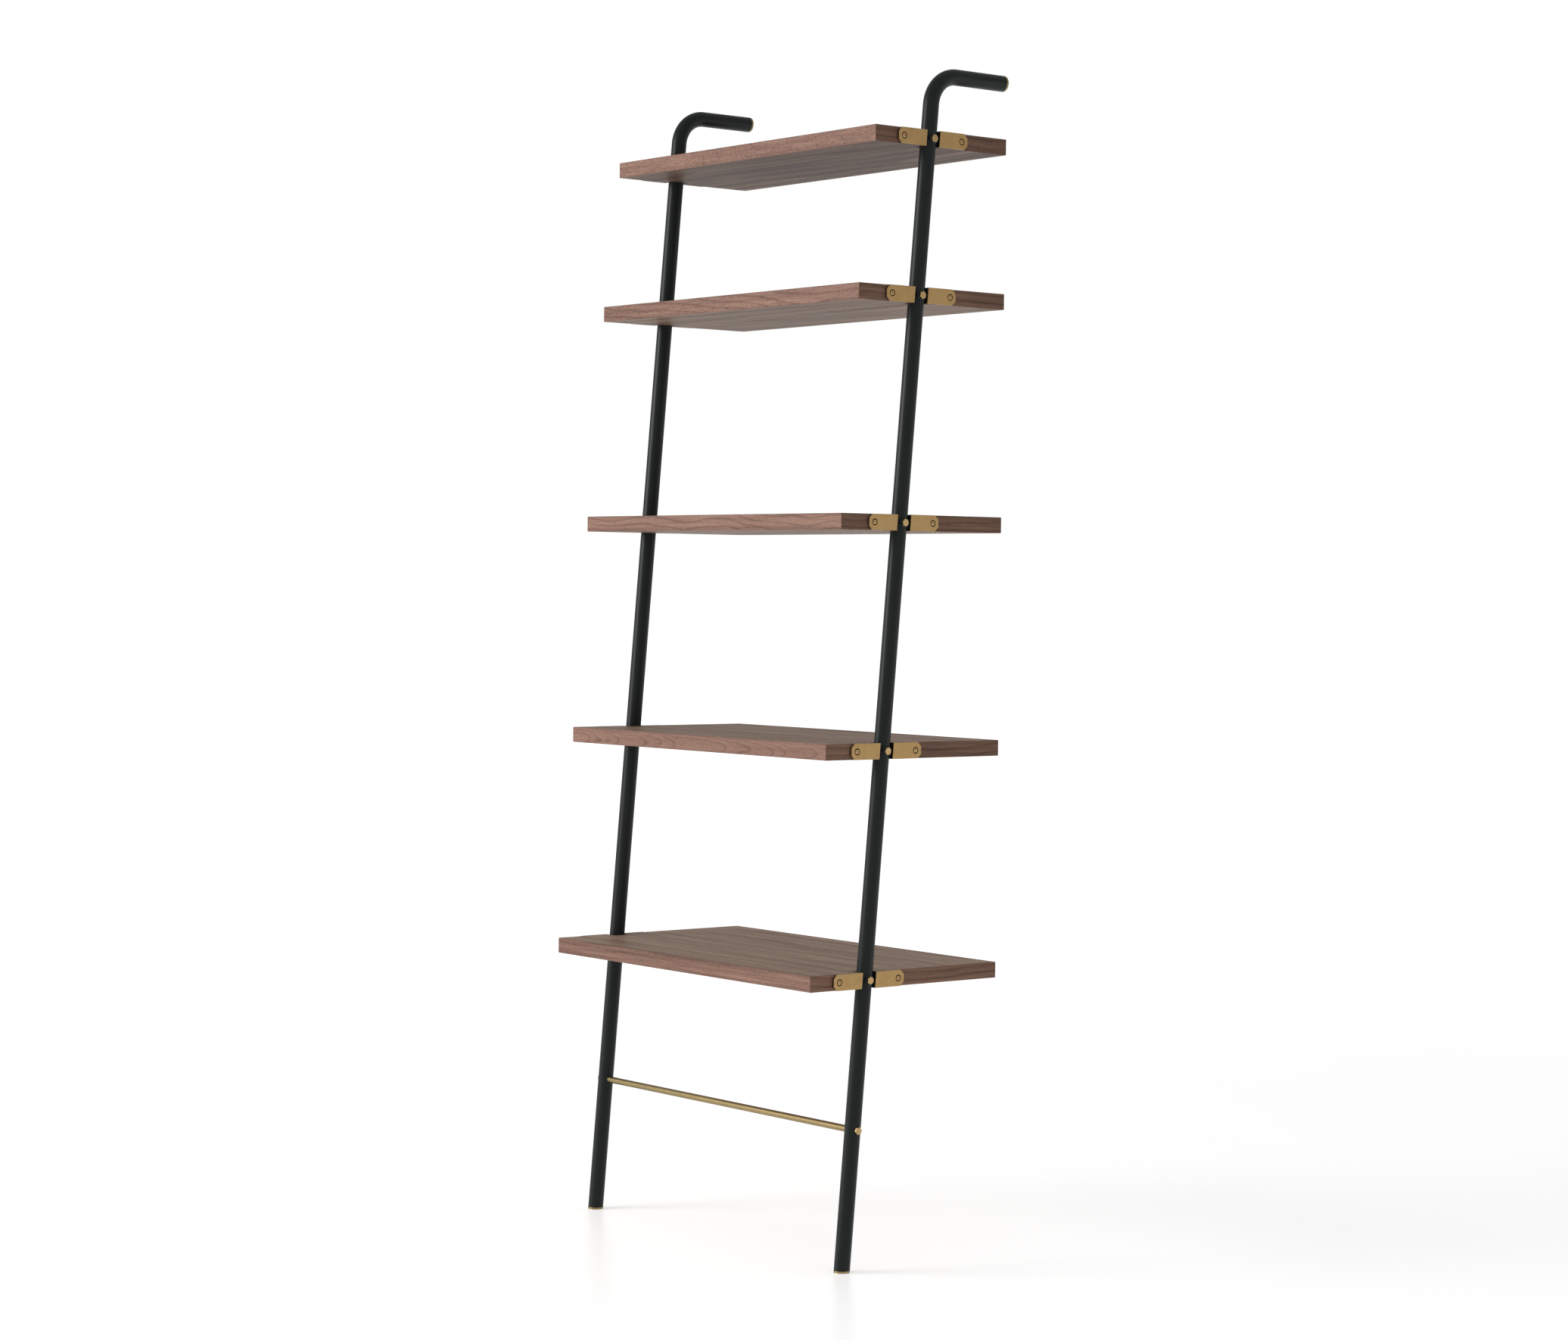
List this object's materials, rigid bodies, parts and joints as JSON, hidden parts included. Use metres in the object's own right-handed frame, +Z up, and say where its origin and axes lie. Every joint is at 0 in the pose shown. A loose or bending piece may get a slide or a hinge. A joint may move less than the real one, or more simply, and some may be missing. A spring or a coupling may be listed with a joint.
{
  "type": "leaning wall shelf",
  "caption": "Open wall shelf: walnut boards of growing depth held by brass-faced end brackets on two leaning black tubes that stand on the floor and bend back to the wall.",
  "frame": {"origin": "on the floor, midway between the shelf ends and midway between the front edge of the lowest shelf and the wall", "axes": "+X along the shelves to the viewer's right, +Y towards the wall, +Z up"},
  "size_m": [0.82, 0.45, 2.2201],
  "materials": {
    "tube": "black powder coat, satin, faintly green",
    "bracket_sheet": "black powder coat, matt",
    "brass_plate": "satin brass, brushed along the plate",
    "brass_fitting": "satin brass, turned",
    "brass_fastener": "brass, slightly polished",
    "walnut_board": "walnut, grain along the board, matt lacquer",
    "walnut_lip": "solid walnut lip, lighter, matt lacquer",
    "hidden_steel": "plain zinc-plated steel"
  },
  "bodies": {
    "root": {"upright_left": "tube", "upright_right": "tube", "foot_cap_left": "brass_fitting", "foot_cap_right": "brass_fitting", "wall_boss_left": "brass_fitting", "wall_boss_right": "brass_fitting", "grub_screws": "hidden_steel", "cross_rod": "brass_fitting", "rod_bolts": "brass_fastener", "saddle_washers": "bracket_sheet", "shelf_bolts": "brass_fastener", "bolt_inserts": "hidden_steel", "plate_screws": "brass_fastener", "screw_inserts": "hidden_steel", "shelf_1_core": "walnut_board", "shelf_1_front_lip": "walnut_lip", "shelf_1_back_lip": "walnut_lip", "shelf_1_left_channel": "bracket_sheet", "shelf_1_left_front_plate": "brass_plate", "shelf_1_left_rear_plate": "brass_plate", "shelf_1_right_channel": "bracket_sheet", "shelf_1_right_front_plate": "brass_plate", "shelf_1_right_rear_plate": "brass_plate", "shelf_2_core": "walnut_board", "shelf_2_front_lip": "walnut_lip", "shelf_2_back_lip": "walnut_lip", "shelf_2_left_channel": "bracket_sheet", "shelf_2_left_front_plate": "brass_plate", "shelf_2_left_rear_plate": "brass_plate", "shelf_2_right_channel": "bracket_sheet", "shelf_2_right_front_plate": "brass_plate", "shelf_2_right_rear_plate": "brass_plate", "shelf_3_core": "walnut_board", "shelf_3_front_lip": "walnut_lip", "shelf_3_back_lip": "walnut_lip", "shelf_3_left_channel": "bracket_sheet", "shelf_3_left_front_plate": "brass_plate", "shelf_3_left_rear_plate": "brass_plate", "shelf_3_right_channel": "bracket_sheet", "shelf_3_right_front_plate": "brass_plate", "shelf_3_right_rear_plate": "brass_plate", "shelf_4_core": "walnut_board", "shelf_4_front_lip": "walnut_lip", "shelf_4_back_lip": "walnut_lip", "shelf_4_left_channel": "bracket_sheet", "shelf_4_left_front_plate": "brass_plate", "shelf_4_left_rear_plate": "brass_plate", "shelf_4_right_channel": "bracket_sheet", "shelf_4_right_front_plate": "brass_plate", "shelf_4_right_rear_plate": "brass_plate", "shelf_5_core": "walnut_board", "shelf_5_front_lip": "walnut_lip", "shelf_5_back_lip": "walnut_lip", "shelf_5_left_channel": "bracket_sheet", "shelf_5_left_front_plate": "brass_plate", "shelf_5_left_rear_plate": "brass_plate", "shelf_5_right_channel": "bracket_sheet", "shelf_5_right_front_plate": "brass_plate", "shelf_5_right_rear_plate": "brass_plate"}
  },
  "joints": []
}
